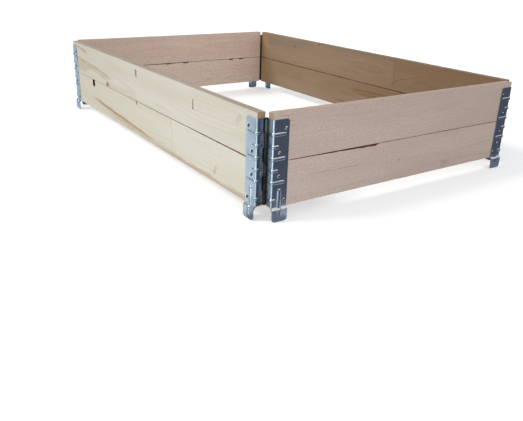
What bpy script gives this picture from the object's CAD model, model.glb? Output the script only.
"""Looks of the folding wooden collar: softwood boards, galvanised hinge leaves, nails and pins."""

import math

import bmesh
import bpy
from mathutils import Matrix, Vector, noise


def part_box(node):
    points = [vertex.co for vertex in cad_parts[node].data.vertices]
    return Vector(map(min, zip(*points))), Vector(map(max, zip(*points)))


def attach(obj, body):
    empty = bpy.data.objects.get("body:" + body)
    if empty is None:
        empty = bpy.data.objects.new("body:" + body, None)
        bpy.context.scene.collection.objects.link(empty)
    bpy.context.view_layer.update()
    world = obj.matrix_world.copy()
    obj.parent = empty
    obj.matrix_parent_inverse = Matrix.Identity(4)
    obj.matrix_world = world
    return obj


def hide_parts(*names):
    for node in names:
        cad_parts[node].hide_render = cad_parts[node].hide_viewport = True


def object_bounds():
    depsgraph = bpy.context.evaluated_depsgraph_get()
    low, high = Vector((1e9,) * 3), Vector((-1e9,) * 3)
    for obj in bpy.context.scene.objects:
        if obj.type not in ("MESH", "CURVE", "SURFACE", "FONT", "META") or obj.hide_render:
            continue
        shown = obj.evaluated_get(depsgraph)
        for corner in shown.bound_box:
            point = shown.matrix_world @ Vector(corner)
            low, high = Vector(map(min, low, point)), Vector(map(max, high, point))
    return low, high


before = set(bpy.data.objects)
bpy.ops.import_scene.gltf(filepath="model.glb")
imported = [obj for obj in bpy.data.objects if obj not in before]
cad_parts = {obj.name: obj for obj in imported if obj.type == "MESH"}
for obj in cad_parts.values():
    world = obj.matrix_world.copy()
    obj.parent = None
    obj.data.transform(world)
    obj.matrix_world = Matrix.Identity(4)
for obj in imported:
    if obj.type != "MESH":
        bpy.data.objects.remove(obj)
cad_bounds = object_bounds()

# Names and places in the frame, in metres, with heights above the floor

SIDES = ("front", "right", "back", "left")
ROWS = ("upper", "lower")
LONG_SIDES = ("front", "back")
# Sides that the camera sees from outside; it sees the other two from inside
SEEN_FROM_OUTSIDE = ("front", "right")
# Middle of the seam between the two boards of a side
SEAM = (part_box("front_lower_board")[1].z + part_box("front_upper_board")[0].z) / 2
# Hinge axes stand at plus and minus these distances from the middle
pin_low, pin_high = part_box("front_right_pin")
HINGE_AXIS = ((pin_low.x + pin_high.x) / 2, -(pin_low.y + pin_high.y) / 2, 0.0)


# Shader building

FLOAT = "NodeSocketFloat"
VECTOR = "NodeSocketVector"
# A Mix node's sockets for colours, which come after those for numbers and vectors
MIX_FACTOR, MIX_FIRST, MIX_SECOND, MIX_RESULT = 0, 6, 7, 2


def paint(red, green, blue):
    """Linear colour of a screen colour given as 0 to 255."""
    def linear(value):
        value /= 255
        return value / 12.92 if value <= 0.04045 else ((value + 0.055) / 1.055) ** 2.4
    return linear(red), linear(green), linear(blue), 1.0


def feed(tree, socket, value):
    """Links another node's output to a socket, or sets the socket to a constant."""
    if isinstance(value, bpy.types.NodeSocket):
        tree.links.new(value, socket)
    else:
        socket.default_value = value


def add(tree, kind, inputs=None, **settings):
    """New shader node; an input is a constant or another node's output socket."""
    made = tree.nodes.new(kind)
    for name, value in settings.items():
        setattr(made, name, value)
    for key, value in (inputs or {}).items():
        feed(tree, made.inputs[key], value)
    return made


def calc(tree, operation, *values, clamp=False):
    """Result of a math node."""
    made = add(tree, "ShaderNodeMath", dict(enumerate(values)), operation=operation, use_clamp=clamp)
    return made.outputs[0]


def vector(tree, operation, *values):
    """Vector result of a vector math node."""
    made = add(tree, "ShaderNodeVectorMath", dict(enumerate(values)), operation=operation)
    return made.outputs["Vector"]


def measure(tree, operation, *values):
    """Number that a vector math node gives, such as a length or a dot product."""
    made = add(tree, "ShaderNodeVectorMath", dict(enumerate(values)), operation=operation)
    return made.outputs["Value"]


def scaled(tree, value, factor):
    """Vector times a number."""
    made = add(tree, "ShaderNodeVectorMath", {0: value, "Scale": factor}, operation="SCALE")
    return made.outputs["Vector"]


def split(tree, value):
    """X, Y and Z of a vector."""
    return add(tree, "ShaderNodeSeparateXYZ", {0: value}).outputs


def ramp(tree, value, low, high, start=0.0, end=1.0):
    """Smooth step of a value from start at low to end at high."""
    made = add(tree, "ShaderNodeMapRange",
               {"Value": value, "From Min": low, "From Max": high, "To Min": start, "To Max": end},
               interpolation_type="SMOOTHSTEP")
    return made.outputs["Result"]


def band(tree, value, rise, fall):
    """Mask that rises from 0 to 1 over one span of a value and falls back over another."""
    return calc(tree, "MULTIPLY", ramp(tree, value, *rise), ramp(tree, value, *fall, 1.0, 0.0))


def clouds(tree, place, scale, detail, roughness=0.5):
    """Outputs of a noise texture."""
    return add(tree, "ShaderNodeTexNoise",
               {"Vector": place, "Scale": scale, "Detail": detail, "Roughness": roughness}).outputs


def mix(tree, factor, first, second, blend="MIX"):
    """Colour mix of two colours or sockets."""
    made = add(tree, "ShaderNodeMix", data_type="RGBA", blend_type=blend)
    feed(tree, made.inputs[MIX_FACTOR], factor)
    feed(tree, made.inputs[MIX_FIRST], first)
    feed(tree, made.inputs[MIX_SECOND], second)
    return made.outputs[MIX_RESULT]


def tinted(tree, colour, mask, amount, tint):
    """Colour moved towards a tint by a share of a mask."""
    return mix(tree, calc(tree, "MULTIPLY", mask, amount), colour, tint)


def group(name, inputs, outputs):
    """Empty shader group with the given sockets, as its tree, its inputs and its output node."""
    tree = bpy.data.node_groups.new(name, "ShaderNodeTree")
    for socket, kind in inputs:
        tree.interface.new_socket(socket, in_out="INPUT", socket_type=kind)
    for socket, kind in outputs:
        tree.interface.new_socket(socket, in_out="OUTPUT", socket_type=kind)
    source = tree.nodes.new("NodeGroupInput")
    return tree, source.outputs, tree.nodes.new("NodeGroupOutput")


def use(tree, made_group, inputs):
    """Node that runs a group, as its outputs."""
    made = tree.nodes.new("ShaderNodeGroup")
    made.node_tree = made_group
    for key, value in inputs.items():
        feed(tree, made.inputs[key], value)
    return made.outputs


def shine(tree, kind, colour, strength=1.0):
    """Shader of a node that gives light, an Emission or a Background."""
    return add(tree, kind, {"Color": colour, "Strength": strength}).outputs[0]


def choose(tree, mask, first, second):
    """First of two shaders where a mask is 0, and the second where it is 1."""
    return add(tree, "ShaderNodeMixShader", {0: mask, 1: first, 2: second}).outputs[0]


def new_material(name):
    """New material, with its tree and its Principled shader."""
    material = bpy.data.materials.new(name)
    material.use_nodes = True
    tree = material.node_tree
    return material, tree, tree.nodes["Principled BSDF"]


# Shader groups, in metres on the board or the part

def grain_group():
    """Growth rings round a wandering pith, fine fibres, broad tone and torn fuzz.

    Place is along the board, across its face and through its thickness."""
    wander_stretch = (1.1, 3.0, 3.0)
    fibre_stretch = (6.0, 420.0, 420.0)
    tone_stretch = (2.2, 14.0, 14.0)
    fuzz_stretch = (170.0, 330.0, 330.0)
    tree, given, result = group(
        "Softwood grain",
        [("Place", VECTOR), ("Pith", VECTOR), ("Ring", FLOAT), ("Wander", FLOAT)],
        [("Late", FLOAT), ("Fibre", FLOAT), ("Tone", FLOAT), ("Fuzz", FLOAT)])
    place = given["Place"]
    drift = clouds(tree, vector(tree, "MULTIPLY", place, wander_stretch), 1.0, 2.0, 0.45)["Color"]
    wander = scaled(tree, vector(tree, "SUBTRACT", drift, (0.5, 0.5, 0.5)), given["Wander"])
    from_pith = vector(tree, "SUBTRACT", vector(tree, "ADD", place, wander), given["Pith"])
    radius = measure(tree, "LENGTH", vector(tree, "MULTIPLY", from_pith, (0.0, 1.0, 1.0)))
    rings = calc(tree, "DIVIDE", radius, given["Ring"])
    uneven = add(tree, "ShaderNodeTexNoise",
                 {"W": calc(tree, "MULTIPLY", rings, 0.35), "Scale": 1.0, "Detail": 1.0},
                 noise_dimensions="1D").outputs["Fac"]
    in_ring = calc(tree, "FRACT", calc(tree, "ADD", rings, calc(tree, "MULTIPLY", uneven, 1.6)))
    rise = calc(tree, "POWER", ramp(tree, in_ring, 0.25, 0.86), 2.0)
    late = calc(tree, "MULTIPLY", rise, ramp(tree, in_ring, 0.90, 1.0, 1.0, 0.0))
    fibre = clouds(tree, vector(tree, "MULTIPLY", place, fibre_stretch), 1.0, 3.0, 0.6)["Fac"]
    tone = clouds(tree, vector(tree, "MULTIPLY", place, tone_stretch), 1.0, 3.0, 0.55)["Fac"]
    torn = clouds(tree, vector(tree, "MULTIPLY", place, fuzz_stretch), 1.0, 3.0, 0.65)["Fac"]
    tree.links.new(late, result.inputs["Late"])
    tree.links.new(fibre, result.inputs["Fibre"])
    tree.links.new(tone, result.inputs["Tone"])
    tree.links.new(ramp(tree, torn, 0.36, 0.66), result.inputs["Fuzz"])
    return tree


def knot_group():
    """Round knot: bends the grain aside, and gives the knot's own mask and its darker rim."""
    tree, given, result = group(
        "Knot",
        [("Place", VECTOR), ("Centre", VECTOR), ("Radius", FLOAT), ("Knots", FLOAT), ("Rims", FLOAT)],
        [("Place", VECTOR), ("Knots", FLOAT), ("Rims", FLOAT)])
    from_centre = vector(tree, "SUBTRACT", given["Place"], given["Centre"])
    away = vector(tree, "MULTIPLY", from_centre, (0.7, 1.0, 0.0))
    ragged = clouds(tree, given["Place"], 160.0, 2.0)["Fac"]
    radii = calc(tree, "DIVIDE", measure(tree, "LENGTH", away), given["Radius"])
    radii = calc(tree, "ADD", radii, calc(tree, "MULTIPLY_ADD", ragged, 0.5, -0.25))
    near = calc(tree, "EXPONENT", calc(tree, "MULTIPLY", calc(tree, "MULTIPLY", radii, radii), -0.22))
    above = calc(tree, "SIGN", split(tree, away)["Y"])
    furthest = calc(tree, "MULTIPLY", given["Radius"], -0.9)
    shove = calc(tree, "MULTIPLY", calc(tree, "MULTIPLY", near, above), furthest)
    moved = add(tree, "ShaderNodeCombineXYZ", {"Y": shove}).outputs[0]
    knot = ramp(tree, radii, 0.85, 1.05, 1.0, 0.0)
    rim = band(tree, radii, (0.7, 1.0), (1.05, 2.0))
    tree.links.new(vector(tree, "ADD", given["Place"], moved), result.inputs["Place"])
    tree.links.new(calc(tree, "MAXIMUM", knot, given["Knots"]), result.inputs["Knots"])
    tree.links.new(calc(tree, "MAXIMUM", rim, given["Rims"]), result.inputs["Rims"])
    return tree


def streak_group():
    """Soft line on a board's face from one point to another, added to the streaks so far."""
    ragged_stretch = (14.0, 60.0, 60.0)
    tree, given, result = group(
        "Streak",
        [("Place", VECTOR), ("Start", VECTOR), ("End", VECTOR), ("Width", FLOAT), ("Amount", FLOAT),
         ("Taper", FLOAT), ("Streaks", FLOAT)],
        [("Streaks", FLOAT)])
    run = vector(tree, "SUBTRACT", given["End"], given["Start"])
    from_start = vector(tree, "SUBTRACT", given["Place"], given["Start"])
    on_face = vector(tree, "MULTIPLY", from_start, (1.0, 1.0, 0.0))
    share = calc(tree, "DIVIDE", measure(tree, "DOT_PRODUCT", on_face, run),
                 measure(tree, "DOT_PRODUCT", run, run), clamp=True)
    aside = measure(tree, "LENGTH", vector(tree, "SUBTRACT", on_face, scaled(tree, run, share)))
    ragged = clouds(tree, vector(tree, "MULTIPLY", given["Place"], ragged_stretch), 1.0, 3.0)["Fac"]
    widths = calc(tree, "DIVIDE", aside, given["Width"])
    widths = calc(tree, "ADD", widths, calc(tree, "MULTIPLY_ADD", ragged, 1.2, -0.6))
    inner = ramp(tree, calc(tree, "MULTIPLY", share, calc(tree, "SUBTRACT", 1.0, share)), 0.0, 0.2)
    lost = calc(tree, "MULTIPLY", given["Taper"], calc(tree, "SUBTRACT", 1.0, inner))
    strength = calc(tree, "MULTIPLY", given["Amount"], calc(tree, "SUBTRACT", 1.0, lost))
    mask = calc(tree, "MULTIPLY", ramp(tree, widths, 0.2, 1.0, 1.0, 0.0), strength)
    tree.links.new(calc(tree, "MAXIMUM", mask, given["Streaks"]), result.inputs["Streaks"])
    return tree


def zinc_group():
    """Spangle, drawn scuffs and grime of a zinc coat."""
    scuff_stretch = (500.0, 500.0, 30.0)
    flakes_per_metre = 260.0
    tree, given, result = group(
        "Zinc coat", [("Place", VECTOR)], [("Spangle", FLOAT), ("Scuff", FLOAT), ("Grime", FLOAT)])
    place = given["Place"]
    flakes = add(tree, "ShaderNodeTexVoronoi",
                 {"Vector": place, "Scale": flakes_per_metre, "Randomness": 1.0}).outputs["Color"]
    drawn = clouds(tree, vector(tree, "MULTIPLY", place, scuff_stretch), 1.0, 2.0)["Fac"]
    cloud = clouds(tree, place, 26.0, 5.0, 0.6)["Fac"]
    tree.links.new(add(tree, "ShaderNodeSeparateColor", {0: flakes}).outputs[0], result.inputs["Spangle"])
    tree.links.new(ramp(tree, drawn, 0.58, 0.72), result.inputs["Scuff"])
    tree.links.new(ramp(tree, cloud, 0.42, 0.72), result.inputs["Grime"])
    return tree


GRAIN = grain_group()
KNOT = knot_group()
STREAK = streak_group()
ZINC = zinc_group()


# Wood

# Lines longer than this along the board fade out towards their ends
TAPERED_LINE = 0.02
# Wood beyond a finger joint comes from another stick: how far its grain is shifted along and up
OTHER_STICK = (3.0, 0.021)
# Half-width of a finger joint's glue line, and where its soft side ends
GLUE_LINE = (0.0004, 0.0012)
# Height from the seam within which the boards' edges have the seam's colour, and where its soft side ends
SEAM_SIDE = (0.008, 0.012)
# Depth below a board's top at which the weathered grey starts and is full
WEATHERED_DEPTH = (0.0016, 0.0006)


def board_place(tree, side):
    """Board coordinates of a side: along it, up its face and through its thickness."""
    part = split(tree, add(tree, "ShaderNodeTexCoord").outputs["Object"])
    along, through = ("X", "Y") if side in LONG_SIDES else ("Y", "X")
    made = add(tree, "ShaderNodeCombineXYZ", {"X": part[along], "Y": part["Z"], "Z": part[through]})
    return made.outputs[0]


def streak_mask(tree, place, lines):
    """Mask of lines on a board's face, each with its start, end, width and amount."""
    mask = 0.0
    for start, end, width, amount in lines:
        taper = 1.0 if abs(end[0] - start[0]) > TAPERED_LINE else 0.0
        mask = use(tree, STREAK, {"Place": place, "Start": (*start, 0), "End": (*end, 0), "Width": width,
                                  "Amount": amount, "Taper": taper, "Streaks": mask})["Streaks"]
    return mask


def knot_masks(tree, place, knots):
    """Place bent aside by knots, with the masks of the knots and of their rims."""
    inside, rims = 0.0, 0.0
    for along, height, radius in knots:
        made = use(tree, KNOT, {"Place": place, "Centre": (along, height, 0), "Radius": radius,
                                "Knots": inside, "Rims": rims})
        place, inside, rims = made["Place"], made["Knots"], made["Rims"]
    return place, inside, rims


def beyond_joint(tree, place, past):
    """Place shifted to another stick's grain where it lies past a finger joint."""
    other = calc(tree, "GREATER_THAN", past, 0.0)
    shift = add(tree, "ShaderNodeCombineXYZ", {"X": calc(tree, "MULTIPLY", other, OTHER_STICK[0]),
                                               "Y": calc(tree, "MULTIPLY", other, OTHER_STICK[1])})
    return vector(tree, "ADD", place, shift.outputs[0])


def marked_wood(tree, colour, place, look):
    """Wood's colour with the board's greyed bands, stained streaks and short marks."""
    for lines, tint in (("greyed", "grey"), ("streaks", "stain"), ("marks", "mark")):
        if lines in look:
            colour = mix(tree, streak_mask(tree, place, look[lines]), colour, look[tint])
    return colour


def bare_wood(tree, grain, look):
    """Colour of clean wood: broad tone, late wood in the rings and fine fibres."""
    colour = mix(tree, ramp(tree, grain["Tone"], 0.32, 0.68), look["pale"], look["deep"])
    colour = tinted(tree, colour, grain["Late"], look["contrast"], look["late"])
    return mix(tree, ramp(tree, grain["Fibre"], 0.35, 0.75, 0.0, 0.16), colour, look["late"])


def seam_stained(tree, colour, height, look):
    """Wood's colour with the seam's own on the level edges that face each other there."""
    facing = split(tree, add(tree, "ShaderNodeNewGeometry").outputs["True Normal"])
    level = ramp(tree, calc(tree, "ABSOLUTE", facing["Z"]), 0.25, 0.6)
    from_seam = calc(tree, "ABSOLUTE", calc(tree, "SUBTRACT", height, SEAM))
    return tinted(tree, colour, level, ramp(tree, from_seam, *SEAM_SIDE, 1.0, 0.0), look["seam"])


def weathered_top(tree, colour, grain, height, look):
    """Wood's colour with patchy grey along the board's top."""
    on_top = ramp(tree, height, *(look["top"] - depth for depth in WEATHERED_DEPTH))
    patchy = ramp(tree, grain["Fibre"], 0.3, 0.6, 0.55, 1.0)
    aged = tinted(tree, look["grey"], grain["Fuzz"], 0.35, look["seam"])
    return tinted(tree, colour, calc(tree, "MULTIPLY", on_top, patchy), look["weathered"], aged)


def softwood(name, side, look, end_grain=False):
    """Bare softwood of one board, from its own colours, pith, knots, streaks and finger joint."""
    material, tree, shader = new_material(name)
    place = board_place(tree, side)
    along, height = split(tree, place)["X"], split(tree, place)["Y"]
    bent, knots, rims = knot_masks(tree, place, look.get("knots", ()))
    if "finger_joint" in look:
        past = calc(tree, "SUBTRACT", along, look["finger_joint"])
        bent = beyond_joint(tree, bent, past)
    grain = use(tree, GRAIN, {"Place": vector(tree, "ADD", bent, (look["seed"], 0, 0)),
                              "Pith": look["pith"], "Ring": look["ring"], "Wander": look["wander"]})
    colour = marked_wood(tree, bare_wood(tree, grain, look), place, look)
    if "knots" in look:
        colour = tinted(tree, colour, rims, 0.55, look["stain"])
        colour = tinted(tree, colour, knots, 0.85, look["knot"])
    if "finger_joint" in look:
        glue_line = ramp(tree, calc(tree, "ABSOLUTE", past), *GLUE_LINE, 0.6, 0.0)
        colour = mix(tree, glue_line, colour, look["stain"])
    colour = seam_stained(tree, colour, height, look)
    colour = tinted(tree, colour, grain["Fuzz"], look["fuzz"], look["late"])
    start, end, shade = look["shading"]
    colour = mix(tree, ramp(tree, along, start, end), colour, shade, "MULTIPLY")
    if end_grain:
        colour = mix(tree, calc(tree, "MULTIPLY_ADD", grain["Late"], 0.4, 0.6), colour, look["end"])
        colour = tinted(tree, colour, grain["Fuzz"], 0.40, look["seam"])
    colour = weathered_top(tree, colour, grain, height, look)
    tree.links.new(colour, shader.inputs["Base Color"])
    tree.links.new(ramp(tree, grain["Fibre"], 0.3, 0.7, 0.62, 0.82), shader.inputs["Roughness"])
    shader.inputs["Specular IOR Level"].default_value = 0.25
    relief = calc(tree, "MULTIPLY_ADD", grain["Fibre"], 0.7, calc(tree, "MULTIPLY", grain["Late"], 0.5))
    relief = calc(tree, "MULTIPLY_ADD", grain["Fuzz"], 1.5 * look["fuzz"], relief)
    bump = add(tree, "ShaderNodeBump", {"Strength": 0.35, "Distance": 0.0006, "Height": relief})
    tree.links.new(bump.outputs[0], shader.inputs["Normal"])
    return material


CREAM = {
    "pale": paint(217, 214, 204), "deep": paint(207, 203, 189), "late": paint(192, 178, 150),
    "stain": paint(168, 128, 88), "knot": paint(122, 80, 46), "end": paint(140, 108, 70),
    "grey": paint(152, 139, 133), "seam": paint(176, 112, 60), "mark": paint(104, 92, 66),
    "contrast": 0.22, "weathered": 0.85, "fuzz": 0.14,
}
PINK = {
    "pale": paint(203, 187, 178), "deep": paint(195, 177, 167), "late": paint(176, 152, 138),
    "stain": paint(140, 98, 74), "end": paint(178, 146, 104),
    "grey": paint(176, 156, 140), "seam": paint(140, 84, 52),
    "contrast": 0.15, "weathered": 0.45, "fuzz": 0.50,
}
ROSE = {
    "pale": paint(224, 203, 188), "deep": paint(217, 193, 177), "late": paint(194, 165, 148),
    "stain": paint(116, 78, 58), "end": paint(178, 142, 100),
    "grey": paint(160, 140, 130), "seam": paint(92, 56, 38),
    "contrast": 0.24, "weathered": 0.6, "fuzz": 0.60,
}
TAN = {
    "pale": paint(161, 138, 116), "deep": paint(151, 126, 101), "late": paint(132, 105, 78),
    "stain": paint(116, 76, 48), "end": paint(150, 120, 84),
    "grey": paint(140, 126, 110), "seam": paint(72, 46, 28), "mark": paint(190, 150, 98),
    "contrast": 0.24, "weathered": 0.7, "fuzz": 0.20,
}

# Boards darken along their length: where that starts, where it is full, and the shade
FRONT_UPPER_SHADING = (0.5, -0.58, (0.90, 0.89, 0.87, 1))
FRONT_LOWER_SHADING = (0.5, -0.50, (0.88, 0.855, 0.80, 1))
RIGHT_SHADING = (-0.38, 0.38, (0.88, 0.86, 0.85, 1))
BACK_SHADING = (-0.35, 0.45, (0.76, 0.68, 0.60, 1))
LEFT_SHADING = (0.15, -0.35, (0.95, 0.945, 0.94, 1))


def board_look(colours, shading, seed, pith, ring, wander, **own):
    """Look of one board: its kind of wood and shading, its pith's height and depth, and its own marks."""
    grain = {"seed": seed, "pith": (0, *pith), "ring": ring, "wander": wander}
    return {**colours, **grain, "shading": shading, **own}


# A line has its start and end, each along the board and above the floor, its width and its amount.
# A knot has its place along the board, its height and its radius.
LOOKS = {
    "front_upper_board": board_look(
        CREAM, FRONT_UPPER_SHADING, seed=1.3, pith=(0.150, -0.330), ring=0.0042, wander=0.050,
        knots=[(-0.260, 0.1365, 0.0060)],
        streaks=[
            ((-0.58, 0.224), (-0.42, 0.206), 0.0055, 0.55),
            ((-0.60, 0.190), (-0.42, 0.172), 0.0038, 0.55),
            ((-0.60, 0.181), (-0.38, 0.163), 0.0036, 0.55),
            ((-0.60, 0.172), (-0.40, 0.154), 0.0040, 0.55),
            ((-0.60, 0.163), (-0.42, 0.147), 0.0036, 0.45),
            ((-0.60, 0.154), (-0.44, 0.141), 0.0038, 0.40),
            ((-0.48, 0.180), (-0.20, 0.156), 0.0075, 0.45),
            ((-0.47, 0.168), (-0.24, 0.149), 0.0060, 0.35),
        ],
        marks=[
            ((-0.031, 0.202), (-0.031, 0.213), 0.0080, 0.85),
            ((0.304, 0.181), (0.304, 0.200), 0.0040, 0.95),
            ((0.500, 0.193), (0.512, 0.206), 0.0110, 0.16),
        ]),
    "front_lower_board": board_look(
        CREAM, FRONT_LOWER_SHADING, seed=5.1, pith=(0.030, -0.300), ring=0.0045, wander=0.060,
        pale=paint(221, 219, 209), deep=paint(214, 211, 197), finger_joint=0.185,
        streaks=[
            ((-0.45, 0.072), (0.12, 0.040), 0.0080, 0.72),
            ((-0.30, 0.054), (0.10, 0.034), 0.0100, 0.35),
            ((0.0, 0.034), (0.70, 0.032), 0.0150, 0.55),
            ((-0.391, 0.050), (-0.391, 0.105), 0.0022, 0.25),
        ],
        marks=[
            ((-0.037, 0.1225), (-0.037, 0.1300), 0.0060, 1.0),
            ((0.404, 0.054), (0.412, 0.066), 0.0080, 0.22),
        ]),
    "right_upper_board": board_look(
        PINK, RIGHT_SHADING, seed=9.7, pith=(0.190, 0.660), ring=0.0036, wander=0.030,
        streaks=[
            ((-0.365, 0.224), (-0.335, 0.222), 0.0016, 0.7),
            ((-0.350, 0.214), (-0.325, 0.211), 0.0014, 0.6),
            ((-0.340, 0.203), (-0.318, 0.200), 0.0012, 0.5),
        ]),
    "right_lower_board": board_look(
        PINK, RIGHT_SHADING, seed=12.4, pith=(0.060, 0.680), ring=0.0036, wander=0.030,
        pale=paint(207, 191, 181), deep=paint(199, 181, 170),
        streaks=[
            ((-0.30, 0.0890), (-0.08, 0.0870), 0.0012, 0.55),
            ((-0.015, 0.0780), (-0.012, 0.0815), 0.0030, 0.8),
            ((0.145, 0.0450), (0.162, 0.0460), 0.0100, 0.22),
        ]),
    "back_upper_board": board_look(
        TAN, BACK_SHADING, seed=17.9, pith=(0.180, 0.330), ring=0.0050, wander=0.075, finger_joint=0.179,
        greyed=[
            ((-0.54, 0.211), (-0.20, 0.216), 0.0150, 0.85),
            ((-0.26, 0.220), (0.26, 0.229), 0.0110, 0.75),
        ],
        streaks=[
            ((0.165, 0.144), (0.202, 0.167), 0.0018, 0.50),
            ((0.200, 0.166), (0.290, 0.188), 0.0018, 0.50),
            ((0.233, 0.147), (0.292, 0.176), 0.0016, 0.45),
            ((-0.352, 0.200), (-0.342, 0.200), 0.0036, 0.80),
            ((-0.209, 0.222), (-0.194, 0.230), 0.0028, 0.90),
            ((-0.196, 0.229), (-0.150, 0.229), 0.0022, 0.80),
        ],
        marks=[((-0.560, 0.135), (-0.560, 0.225), 0.0500, 0.32)]),
    "back_lower_board": board_look(
        TAN, BACK_SHADING, seed=21.2, pith=(0.080, 0.335), ring=0.0046, wander=0.070,
        streaks=[
            ((-0.05, 0.097), (0.24, 0.109), 0.0052, 0.45),
            ((-0.01, 0.089), (0.22, 0.097), 0.0042, 0.48),
            ((-0.10, 0.050), (0.02, 0.047), 0.0045, 0.45),
        ],
        marks=[((-0.560, 0.040), (-0.560, 0.125), 0.0500, 0.45)]),
    "left_upper_board": board_look(
        ROSE, LEFT_SHADING, seed=25.5, pith=(0.190, -0.660), ring=0.0036, wander=0.030),
    "left_lower_board": board_look(
        ROSE, LEFT_SHADING, seed=29.1, pith=(0.050, -0.650), ring=0.0036, wander=0.030,
        pale=paint(230, 210, 196), deep=paint(224, 201, 186),
        streaks=[
            ((0.020, 0.1275), (0.044, 0.1275), 0.0040, 0.9),
            ((0.228, 0.1280), (0.242, 0.1280), 0.0040, 0.9),
            ((0.272, 0.1280), (0.294, 0.1280), 0.0036, 0.8),
            ((-0.052, 0.1280), (-0.036, 0.1280), 0.0034, 0.9),
            ((-0.16, 0.1285), (0.04, 0.1285), 0.0018, 0.7),
        ]),
}


# Boards

# Half-width of the seam on the face that the camera sees, at places along each board
SEAM_OPEN = {
    "front_upper_board": [(-0.30, 0.0), (-0.24, 0.0003), (0.10, 0.0005), (0.35, 0.0010), (0.55, 0.0014)],
    "front_lower_board": [(-0.30, 0.0), (-0.24, 0.0003), (0.10, 0.0006), (0.35, 0.0013), (0.55, 0.0020)],
    "right_upper_board": [(-0.34, 0.0004), (0.34, 0.0006)],
    "right_lower_board": [
        (-0.335, 0.0004), (-0.318, 0.0014), (-0.25, 0.0018), (-0.20, 0.0028), (-0.13, 0.0042),
        (-0.092, 0.0046), (-0.084, 0.0010), (-0.070, 0.0006), (0.34, 0.0009)],
    "back_upper_board": [(-0.55, 0.0012), (0.0, 0.0010), (0.3, 0.0014)],
    "back_lower_board": [(-0.55, 0.0012), (0.0, 0.0010), (0.3, 0.0014)],
    "left_upper_board": [(-0.35, 0.0006), (0.35, 0.0006)],
    "left_lower_board": [
        (-0.35, 0.0008), (-0.16, 0.0012), (-0.056, 0.0008), (-0.050, 0.0030), (-0.038, 0.0030),
        (-0.032, 0.0008), (0.016, 0.0009), (0.022, 0.0036), (0.040, 0.0036), (0.046, 0.0005),
        (0.224, 0.0005), (0.229, 0.0036), (0.240, 0.0036), (0.245, 0.0005), (0.270, 0.0005),
        (0.275, 0.0030), (0.292, 0.0030), (0.298, 0.0004), (0.35, 0.0004)],
}
# Half-width of the seam on the other face, and of the crack where it closes
HIDDEN_SEAM = 0.0005
CLOSED_SEAM = 0.00001
# Where the seam closes, as a share of the thickness from the other face
CLOSED_AT = 0.2
# Blind chip in the top of the front lower board: its two ends, its depth and the lean of its walls
CHIP_START = -0.4000
CHIP_END = -0.3790
CHIP_DEPTH = 0.022
CHIP_LEAN = 0.0004
# Rounding of a board's edges by use, and the steps that it is drawn in
EDGE_RADIUS = 0.0013
EDGE_STEPS = 3
# Stretches along a board and up its face, and a row of points close to the seam
STRETCHES_ALONG = 90
STRETCHES_UP = 8
SEAM_ROW = 0.006
# Reach of a hinge leaf along its board, and the length past it over which the waviness grows
LEAF_REACH = 0.045
WAVES_GROW = 0.03
# Sawn waviness of the faces, with its steps per metre along, up and across the collar
WAVE_DEPTH = 0.0006
WAVE_STEPS = (4, 9, 7)
# How ragged the free edge is within a reach of it, with its steps per metre along and across the collar
RAGGED_DEPTH = 0.0008
RAGGED_REACH = 0.003
RAGGED_STEPS = (60, 11)
# Least width of a ragged seam, as a share of its own, and how much more it can be
SEAM_LEAST = 0.6
SEAM_VARIES = 0.8
# Wood left over the nails' ends on the inside faces
NAIL_COVER = 0.00002
# Points closer than this to a plane count as on it, and points closer than the second are one point
ON_PLANE = 1e-4
SAME_POINT = 1e-5
# Edges sharper than this, in radians, stay sharp, and faces turned this much along the board are its ends
SHARP_ANGLE = 0.7
END_FACING = 0.9
# Order of a board's materials
FACE_WOOD, END_WOOD, CHIP_WOOD = 0, 1, 2


class Board:
    """One board's box in the frame, its axes along and through, and its edges at and off the seam."""

    def __init__(self, side, row):
        self.side = side
        self.name = f"{side}_{row}_board"
        self.low, self.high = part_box(self.name)
        self.axis = 0 if side in LONG_SIDES else 1
        self.across = 1 - self.axis
        self.along = Vector((1, 0, 0)) if self.axis == 0 else Vector((0, 1, 0))
        self.through = Vector((0, 1, 0)) if self.axis == 0 else Vector((1, 0, 0))
        self.up_from_seam = 1 if row == "upper" else -1
        self.seam_edge = self.low.z if row == "upper" else self.high.z
        self.free_edge = self.high.z if row == "upper" else self.low.z
        self.middle = (self.low[self.across] + self.high[self.across]) / 2
        faces = sorted((self.low[self.across], self.high[self.across]), key=abs)
        other, seen = faces if side in SEEN_FROM_OUTSIDE else reversed(faces)
        self.closed_at = other + CLOSED_AT * (seen - other)
        self.chipped = self.name == "front_lower_board"

    def in_chip(self, place):
        """Whether the middle of a face lies on the walls of the chip."""
        low, high = self.low[self.across], self.high[self.across]
        between_faces = low + CHIP_LEAN < place[self.across] < high - CHIP_LEAN
        between_ends = CHIP_START - CHIP_LEAN < place[self.axis] < CHIP_END + CHIP_LEAN
        return self.chipped and between_faces and between_ends


def seam_open(name, along):
    """Half-width of the seam at a place along a board."""
    points = SEAM_OPEN[name]
    if along <= points[0][0]:
        return points[0][1]
    for (start, gap), (end, next_gap) in zip(points, points[1:]):
        if along <= end:
            return gap + (next_gap - gap) * (along - start) / (end - start)
    return points[-1][1]


def window(value, start, end, soft):
    """1 between start and end, falling to 0 over a soft width outside them."""
    def step(share):
        share = min(max(share, 0.0), 1.0)
        return share * share * (3 - 2 * share)
    return step((value - start + soft) / soft) * step((end + soft - value) / soft)


def cut(bm, place, normal):
    """Cuts edges all round a mesh where a plane crosses it."""
    everything = bm.verts[:] + bm.edges[:] + bm.faces[:]
    bmesh.ops.bisect_plane(bm, geom=everything, plane_co=place, plane_no=normal)


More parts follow.
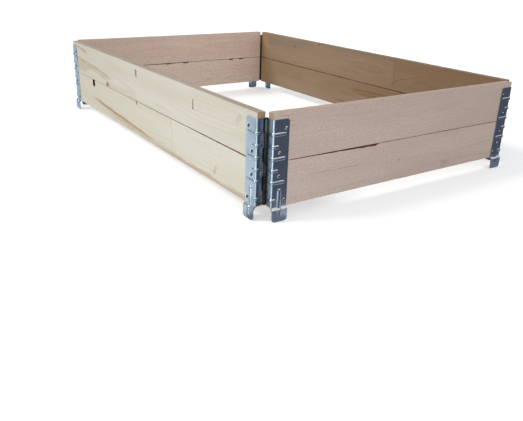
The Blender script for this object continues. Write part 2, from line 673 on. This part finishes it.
def shape_board(board):
    """Board's mesh: a box with eased edges, cut into stretches, worn point by point."""
    size = board.high - board.low
    bm = bmesh.new()
    bmesh.ops.create_cube(bm, size=1)
    bmesh.ops.scale(bm, vec=size, verts=bm.verts)
    bmesh.ops.translate(bm, vec=(board.low + board.high) / 2, verts=bm.verts)
    eased = [edge for edge in bm.edges
             if any(abs(vert.co.z - board.seam_edge) > ON_PLANE for vert in edge.verts)]
    bmesh.ops.bevel(bm, geom=eased, offset=EDGE_RADIUS, segments=EDGE_STEPS, profile=0.5, affect="EDGES",
                    material=-1)
    stations = [board.low[board.axis] + size[board.axis] * k / STRETCHES_ALONG
                for k in range(1, STRETCHES_ALONG)]
    stations += [along for along, gap in SEAM_OPEN[board.name]]
    if board.chipped:
        stations += [CHIP_START, CHIP_START + CHIP_LEAN, CHIP_END - CHIP_LEAN, CHIP_END]
    for station in stations:
        cut(bm, board.along * station, board.along)
    heights = [board.low.z + size.z * k / STRETCHES_UP for k in range(1, STRETCHES_UP)]
    heights.append(board.seam_edge + board.up_from_seam * SEAM_ROW)
    for height in heights:
        cut(bm, (0, 0, height), (0, 0, 1))
    cut(bm, board.through * board.closed_at, board.through)
    for vert in bm.verts:
        wear_point(vert, board)
    bmesh.ops.remove_doubles(bm, verts=bm.verts[:], dist=SAME_POINT)
    bmesh.ops.recalc_face_normals(bm, faces=bm.faces[:])
    return bm


def wear_point(vert, board):
    """Moves one point of a board by its waviness and its seam, with flat faces under the hinge leaves."""
    place = vert.co.copy()
    along, depth = place[board.axis], place[board.across]
    flat_end = LEAF_REACH + WAVES_GROW
    free = window(along, board.low[board.axis] + flat_end, board.high[board.axis] - flat_end, WAVES_GROW)
    outer = abs(depth) > abs(board.middle)
    inward = 1 if depth < board.middle else -1
    where_closed = abs(depth - board.closed_at) < ON_PLANE
    steps_along, steps_up, steps_across = WAVE_STEPS
    own_waves = board.middle * steps_across + len(board.name)
    spot = Vector((along * steps_along, place.z * steps_up, own_waves))
    wave = WAVE_DEPTH * (0.5 + 0.5 * noise.noise(spot)) * free
    if not where_closed:
        vert.co[board.across] += inward * (wave if outer else wave - NAIL_COVER)
    teeth_along, teeth_across = RAGGED_STEPS
    spot = Vector((along * teeth_along, board.middle * teeth_across, board.seam_edge))
    ragged = 0.5 + 0.5 * noise.noise(spot)
    chip_stretch = CHIP_START + CHIP_LEAN / 2 < along < CHIP_END - CHIP_LEAN / 2
    if board.chipped and chip_stretch and (outer or where_closed):
        vert.co.z = min(vert.co.z, SEAM - CHIP_DEPTH)
    elif abs(place.z - board.seam_edge) < ON_PLANE:
        seen = outer == (board.side in SEEN_FROM_OUTSIDE)
        half_width = seam_open(board.name, along) if seen else HIDDEN_SEAM
        gap = 0.0 if where_closed else half_width * (SEAM_LEAST + SEAM_VARIES * ragged)
        vert.co.z = SEAM + board.up_from_seam * (gap + CLOSED_SEAM)
    else:
        at_edge = max(0.0, 1 - abs(place.z - board.free_edge) / RAGGED_REACH)
        vert.co.z -= board.up_from_seam * RAGGED_DEPTH * ragged * at_edge * free


def chip_wood(side):
    """Dark weathered wood on the walls of the chip, browner at its foot."""
    dark_above = SEAM - 0.008
    material, tree, shader = new_material("chip_wood")
    height = split(tree, board_place(tree, side))["Y"]
    upper = ramp(tree, height, SEAM - CHIP_DEPTH, dark_above)
    tree.links.new(mix(tree, upper, paint(92, 56, 42), paint(24, 18, 14)), shader.inputs["Base Color"])
    shader.inputs["Roughness"].default_value = 0.9
    return material


def make_board(side, row):
    """Board in place of its CAD solid, with eased edges, sawn waviness and a seam that opens in places."""
    board = Board(side, row)
    bm = shape_board(board)
    for edge in bm.edges:
        edge.smooth = edge.calc_face_angle(0.0) < SHARP_ANGLE
    for face in bm.faces:
        face.smooth = True
        face.material_index = END_WOOD if abs(face.normal[board.axis]) > END_FACING else FACE_WOOD
        if board.in_chip(face.calc_center_median()):
            face.material_index = CHIP_WOOD
    mesh = bpy.data.meshes.new(board.name + "_look")
    bm.to_mesh(mesh)
    bm.free()
    shown = bpy.data.objects.new(board.name + "_look", mesh)
    bpy.context.scene.collection.objects.link(shown)
    shown.modifiers.new("Flat faces", "WEIGHTED_NORMAL").keep_sharp = True
    look = {**LOOKS[board.name], "top": board.high.z}
    mesh.materials.append(softwood(board.name, side, look))
    mesh.materials.append(softwood(board.name + "_end", side, look, end_grain=True))
    if board.chipped:
        mesh.materials.append(chip_wood(side))
    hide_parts(board.name)
    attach(shown, side + "_side")


# Steel pieces, which keep their CAD shapes

# Spans of distance outwards from the hinge axes along Y: the long sides' end flanges, then the short sides'
LONG_FLANGE = ((0.003, 0.006), (0.0175, 0.0190))
SHORT_FLANGE = ((-0.0036, -0.0030), (-0.0022, -0.0016))
# Distance from a hinge axis over which its grease ends, and the heights between which it thins upwards
GREASE_REACH = (0.0042, 0.0075)
GREASE_THINS = (0.178, 0.200)
# How much less metallic the short sides' end flanges and the rubbed flanks of nails look
FLANGE_DULLER = 0.14
RUBBED_DULLER = 0.8


def grease_mask(tree, place, corner, coat):
    """Mask of the dark grease round a hinge axis, thinner high up and smeared into the grime."""
    from_axis = measure(tree, "LENGTH", vector(tree, "MULTIPLY", corner, (1, 1, 0)))
    thick = ramp(tree, split(tree, place)["Z"], *GREASE_THINS, 0.99, 0.86)
    smeared = calc(tree, "MULTIPLY_ADD", coat["Grime"], 0.06, 0.94)
    return calc(tree, "MULTIPLY", ramp(tree, from_axis, *GREASE_REACH, 1.0, 0.0),
                calc(tree, "MULTIPLY", thick, smeared))


def zinc(name, clean, dull, rough, scuffed, rubbed=None):
    """Zinc-coated steel with spangle, drawn scuffs, grime, and dark grease round the hinge axes.

    The rubbed colour is that of faces turned to the left, where those are worn bright."""
    material, tree, shader = new_material(name)
    place = add(tree, "ShaderNodeTexCoord").outputs["Object"]
    coat = use(tree, ZINC, {"Place": place})
    colour = tinted(tree, clean, coat["Spangle"], 0.10, dull)
    colour = tinted(tree, colour, coat["Grime"], 0.35, dull)
    colour = tinted(tree, colour, coat["Scuff"], scuffed, paint(226, 230, 236))
    corner = vector(tree, "SUBTRACT", vector(tree, "ABSOLUTE", place), HINGE_AXIS)
    outwards = split(tree, corner)["Y"]
    colour = tinted(tree, colour, band(tree, outwards, *LONG_FLANGE), 0.85, paint(114, 124, 138))
    short_flange = band(tree, outwards, *SHORT_FLANGE)
    colour = tinted(tree, colour, short_flange, 0.7, paint(204, 228, 242))
    metal = calc(tree, "MULTIPLY_ADD", short_flange, -FLANGE_DULLER, 1.0)
    if rubbed:
        turned = split(tree, add(tree, "ShaderNodeNewGeometry").outputs["Normal"])["X"]
        to_left = ramp(tree, turned, 0.0, 0.20, 1.0, 0.0)
        colour = mix(tree, to_left, colour, rubbed)
        metal = calc(tree, "MULTIPLY_ADD", to_left, -RUBBED_DULLER, metal)
    grease = grease_mask(tree, place, corner, coat)
    colour = mix(tree, grease, colour, paint(30, 31, 35))
    tree.links.new(colour, shader.inputs["Base Color"])
    tree.links.new(metal, shader.inputs["Metallic"])
    roughness = calc(tree, "MULTIPLY_ADD", coat["Spangle"], 0.06, rough)
    roughness = calc(tree, "MULTIPLY_ADD", coat["Grime"], 0.12, roughness)
    tree.links.new(calc(tree, "MULTIPLY_ADD", grease, 0.25, roughness), shader.inputs["Roughness"])
    dents = clouds(tree, place, 30.0, 1.0)["Fac"]
    bump = add(tree, "ShaderNodeBump", {"Strength": 0.035, "Distance": 0.0016, "Height": dents})
    tree.links.new(bump.outputs[0], shader.inputs["Normal"])
    return material


def dress_steel():
    """Zinc on the leaves, nails and pins; the long sides' nails are darker and rubbed on one flank."""
    sheet = zinc("galvanised_sheet", paint(186, 199, 210), paint(150, 163, 177), 0.22, 0.25)
    nail = zinc("nail_steel", paint(158, 164, 172), paint(120, 126, 134), 0.10, 0.1)
    dark_nail = zinc("dark_nail_steel", paint(84, 88, 96), paint(60, 64, 70), 0.12, 0.1,
                     rubbed=paint(250, 252, 255))
    pin = zinc("pin_steel", paint(104, 108, 116), paint(58, 60, 66), 0.34, 0.2)
    finishes = {
        "leaf": (sheet, "galvanised_sheet"),
        "nails": (nail, "nail_steel"),
        "pin": (pin, "pin_steel"),
    }
    for name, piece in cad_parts.items():
        kind = name.rsplit("_", 1)[1]
        if kind in finishes:
            material, slot = finishes[kind]
            if kind == "nails" and name.startswith(LONG_SIDES):
                material = dark_nail
            piece.data.materials.clear()
            piece.data.materials.append(material)


# Camera, floor and light

# Camera fitted to the photograph: place in metres, angles in degrees, lens and sensor in millimetres
CAMERA_PLACE = (1.5185, -1.0276, 0.5035)
CAMERA_AZIMUTH = 55.639
CAMERA_ELEVATION = 22.985
CAMERA_ROLL = 1.750
CAMERA_LENS = 40.69
CAMERA_SENSOR = 36
# Half-width of the floor
FLOOR_REACH = 30
# Half the collar's length and width over its leaves, to the nearest centimetre
HALF_LENGTH = round(cad_bounds[1][0], 2)
HALF_WIDTH = round(cad_bounds[1][1], 2)
# Level directions of the sky: the far right, and the camera's side
FAR_RIGHT = (0.7, 0.7, 0.0)
NEAR_SIDE = (0.82, -0.57, 0.0)
# Sun's tilt from straight down, its turn and its width, in degrees
KEY_TILT = 48
KEY_TURN = -28
KEY_WIDTH = 20


def place_camera():
    """Camera at its fitted place, turned by its azimuth, elevation and roll."""
    azimuth, elevation, roll = map(math.radians, (CAMERA_AZIMUTH, CAMERA_ELEVATION, CAMERA_ROLL))
    back = Vector((math.sin(azimuth) * math.cos(elevation), -math.cos(azimuth) * math.cos(elevation),
                   math.sin(elevation)))
    level = Vector((math.cos(azimuth), math.sin(azimuth), 0))
    upright = back.cross(level)
    right = math.cos(roll) * level + math.sin(roll) * upright
    up = math.cos(roll) * upright - math.sin(roll) * level
    data = bpy.data.cameras.new("camera")
    data.lens = CAMERA_LENS
    data.sensor_width = CAMERA_SENSOR
    camera = bpy.data.objects.new("camera", data)
    turn = Matrix((right, up, back)).transposed().to_4x4()
    turn.translation = CAMERA_PLACE
    camera.matrix_world = turn
    bpy.context.scene.collection.objects.link(camera)
    bpy.context.scene.camera = camera


def mirrored_floor(tree):
    """Floor's colour as the steel mirrors it: bright in front, dark on the right and inside the collar.

    In front, a dark wedge and a bright glint spread from the near corner, and a pale strip lies along
    the short sides between their tabs."""
    # Spans in metres from the collar's middle
    shade_start, shade_front = (-0.25, 0.15), (-0.430, -0.385)
    left_end, strip_end = (-0.65, -0.30), (0.320, 0.335)
    # Spans in metres outwards from the collar
    under_boards, strip_sides = (-0.015, 0.0), ((-0.020, -0.010), (0.030, 0.075))
    # Spans round the near corner: how far to the right per metre ahead, and metres ahead
    wedge_slants, glint_slants = ((-1.15, -0.85), (-0.50, -0.25)), ((-0.25, 0.0), (0.35, 0.65))
    glint_reach, least_ahead = (0.12, 0.25), 0.001
    part = split(tree, add(tree, "ShaderNodeTexCoord").outputs["Object"])
    off_x, off_y = calc(tree, "ABSOLUTE", part["X"]), calc(tree, "ABSOLUTE", part["Y"])
    out_x, out_y = calc(tree, "SUBTRACT", off_x, HALF_LENGTH), calc(tree, "SUBTRACT", off_y, HALF_WIDTH)
    right_hand = calc(tree, "MULTIPLY", ramp(tree, part["X"], *shade_start),
                      ramp(tree, part["Y"], *shade_front))
    inside = ramp(tree, calc(tree, "MAXIMUM", out_x, out_y), *under_boards, 1.0, 0.0)
    shaded = calc(tree, "MAXIMUM", right_hand, inside)
    beside = band(tree, out_x, *strip_sides)
    strip = calc(tree, "MULTIPLY", beside, ramp(tree, off_y, *strip_end, 1.0, 0.25))
    dark = mix(tree, strip, (0.100, 0.107, 0.142, 1), (0.68, 0.68, 0.78, 1))
    ahead = calc(tree, "MAXIMUM", calc(tree, "SUBTRACT", -HINGE_AXIS[1], part["Y"]), least_ahead)
    slant = calc(tree, "DIVIDE", calc(tree, "SUBTRACT", part["X"], HINGE_AXIS[0]), ahead)
    wedge = band(tree, slant, *wedge_slants)
    glint = calc(tree, "MULTIPLY", band(tree, slant, *glint_slants),
                 ramp(tree, ahead, *glint_reach, 0.12, 1.0))
    front = mix(tree, ramp(tree, part["X"], *left_end), (0.62, 0.75, 0.85, 1), (0.92, 1.01, 1.06, 1))
    front = mix(tree, wedge, front, (0.30, 0.33, 0.37, 1))
    front = mix(tree, glint, front, (2.2, 2.3, 2.4, 1))
    return mix(tree, shaded, front, dark)


def lay_floor():
    """White floor that keeps soft shadows, with its own brightness where the steel mirrors it."""
    mesh = bpy.data.meshes.new("floor")
    bm = bmesh.new()
    bmesh.ops.create_grid(bm, x_segments=1, y_segments=1, size=FLOOR_REACH)
    bm.to_mesh(mesh)
    bm.free()
    floor = bpy.data.objects.new("floor", mesh)
    bpy.context.scene.collection.objects.link(floor)
    material = bpy.data.materials.new("floor")
    material.use_nodes = True
    tree = material.node_tree
    tree.nodes.clear()
    ray = add(tree, "ShaderNodeLightPath").outputs
    matt = add(tree, "ShaderNodeBsdfDiffuse", {"Color": (0.86, 0.86, 0.86, 1)}).outputs[0]
    lift = shine(tree, "ShaderNodeEmission", (1, 1, 1, 1), 0.30)
    seen = add(tree, "ShaderNodeAddShader", {0: matt, 1: lift}).outputs[0]
    mirrored = shine(tree, "ShaderNodeEmission", mirrored_floor(tree))
    plain = choose(tree, ray["Is Camera Ray"], matt, seen)
    surface = choose(tree, ray["Is Glossy Ray"], plain, mirrored)
    add(tree, "ShaderNodeOutputMaterial", {"Surface": surface})
    mesh.materials.append(material)


def mirrored_sky(tree, way):
    """Sky's colour as the steel mirrors it: bright high up, dim low down, darkest on the camera's side."""
    on_right = ramp(tree, measure(tree, "DOT_PRODUCT", way, FAR_RIGHT), -0.2, 0.5)
    on_near_side = ramp(tree, measure(tree, "DOT_PRODUCT", way, NEAR_SIDE), 0.45, 0.8)
    low_light = mix(tree, on_right, (0.28, 0.30, 0.34, 1), (0.10, 0.11, 0.14, 1))
    low_light = mix(tree, on_near_side, low_light, (0.05, 0.055, 0.065, 1))
    high_light = mix(tree, on_right, (1.25, 1.28, 1.30, 1), (1.25, 1.12, 1.00, 1))
    rise = calc(tree, "MULTIPLY_ADD", on_right, 0.16, split(tree, way)["Z"])
    return mix(tree, ramp(tree, rise, 0.46, 0.70), low_light, high_light)


def light_sky():
    """White background, soft light that is stronger from the right, and a sky for the steel to mirror."""
    world = bpy.data.worlds.new("sky")
    bpy.context.scene.world = world
    world.use_nodes = True
    tree = world.node_tree
    tree.nodes.clear()
    ray = add(tree, "ShaderNodeLightPath").outputs
    way = add(tree, "ShaderNodeTexCoord").outputs["Generated"]
    strength = ramp(tree, split(tree, way)["X"], -0.7, 0.9, 0.50, 1.05)
    soft = shine(tree, "ShaderNodeBackground", (0.94, 0.97, 1.0, 1), strength)
    mirrored = shine(tree, "ShaderNodeBackground", mirrored_sky(tree, way))
    white = shine(tree, "ShaderNodeBackground", (1, 1, 1, 1))
    unseen = choose(tree, ray["Is Glossy Ray"], soft, mirrored)
    surface = choose(tree, ray["Is Camera Ray"], unseen, white)
    add(tree, "ShaderNodeOutputWorld", {"Surface": surface})


def light_key():
    """Broad warm sun from the front, a little from the left and about 42 degrees up."""
    data = bpy.data.lights.new("key", "SUN")
    data.energy = 1.40
    data.angle = math.radians(KEY_WIDTH)
    data.color = (1.0, 0.97, 0.92)
    key = bpy.data.objects.new("key", data)
    key.rotation_euler = (math.radians(KEY_TILT), 0, math.radians(KEY_TURN))
    bpy.context.scene.collection.objects.link(key)


for side_name in SIDES:
    for row_name in ROWS:
        make_board(side_name, row_name)
dress_steel()
place_camera()
lay_floor()
light_sky()
light_key()
bpy.context.scene.view_settings.view_transform = "Standard"
